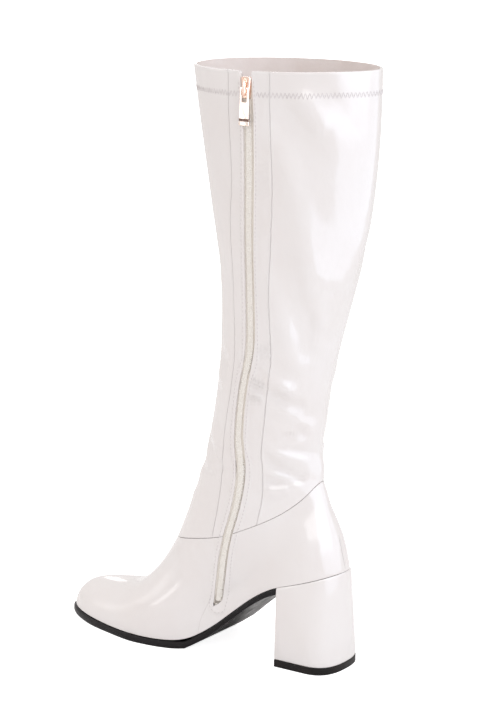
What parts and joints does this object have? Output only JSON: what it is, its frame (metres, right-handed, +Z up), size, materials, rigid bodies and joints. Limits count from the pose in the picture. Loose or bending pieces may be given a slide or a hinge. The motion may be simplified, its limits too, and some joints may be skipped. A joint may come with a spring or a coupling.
{
  "type": "go go boot",
  "caption": "Knee-high right boot with a hollow upper and shaft, inner side zip with hinged pull tab, black sole and covered block heel.",
  "frame": {"origin": "on the floor, under the middle of the boot's box", "axes": "+Z up, toe towards -Y, inner side with the zip towards +X"},
  "size_m": [0.1028, 0.2562, 0.438],
  "materials": {
    "patent": "glossy off-white patent",
    "heel_cover": "glossy off-white patent stretched over the block",
    "sole_black": "satin black",
    "lift_black": "satin black",
    "board": "matt lining over the insole board",
    "tape_cloth": "woven tape",
    "coil_nylon": "cream coil",
    "slider_metal": "polished rose gold plating",
    "pull_metal": "polished rose gold plating"
  },
  "bodies": {
    "boot": {"upper": "patent", "shaft": "patent", "insole": "board", "outsole": "sole_black", "heel": "heel_cover", "top_lift": "lift_black", "zip_tape": "tape_cloth", "zip_coil": "coil_nylon", "zip_slider": "slider_metal"},
    "pull": {"zip_pull": "pull_metal"}
  },
  "joints": [
    {"name": "pull_hinge", "type": "hinge", "parent": "boot", "child": "pull", "pos_m": [0.04918, 0.05083, 0.424], "axis": [0, -1, 0], "range_deg": [-1, 170]}
  ]
}
